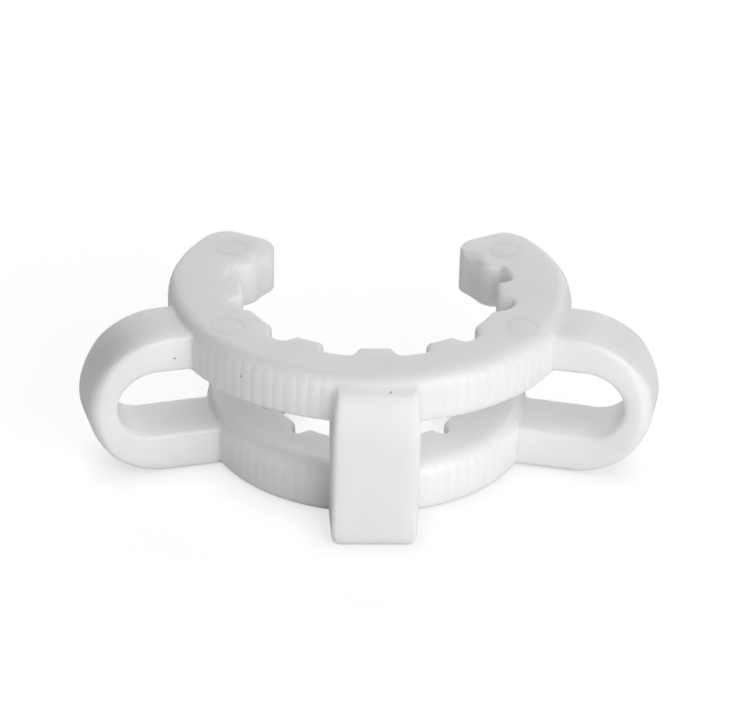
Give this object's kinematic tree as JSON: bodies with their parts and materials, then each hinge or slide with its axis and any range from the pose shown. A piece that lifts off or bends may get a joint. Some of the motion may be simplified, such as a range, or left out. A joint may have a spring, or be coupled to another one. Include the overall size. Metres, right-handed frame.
{
  "type": "ground glass joint clip",
  "caption": "One-piece plastic spring clip with two open collars, a front bridge and two finger loops, for a taper joint in glassware.",
  "frame": {"origin": "on the common grip axis of the two collars, in the plane that the clip stands on, which is the lower collar's bottom face", "axes": "+Z along the grip axis, up towards the upper collar; +Y towards the open mouth of the collars, with the bridge at -Y; +X along the two finger loops"},
  "size_m": [0.0648, 0.038, 0.0192],
  "materials": {
    "white_acetal": "satin, moulded"
  },
  "bodies": {
    "root": {"clip": "white_acetal"}
  },
  "joints": []
}
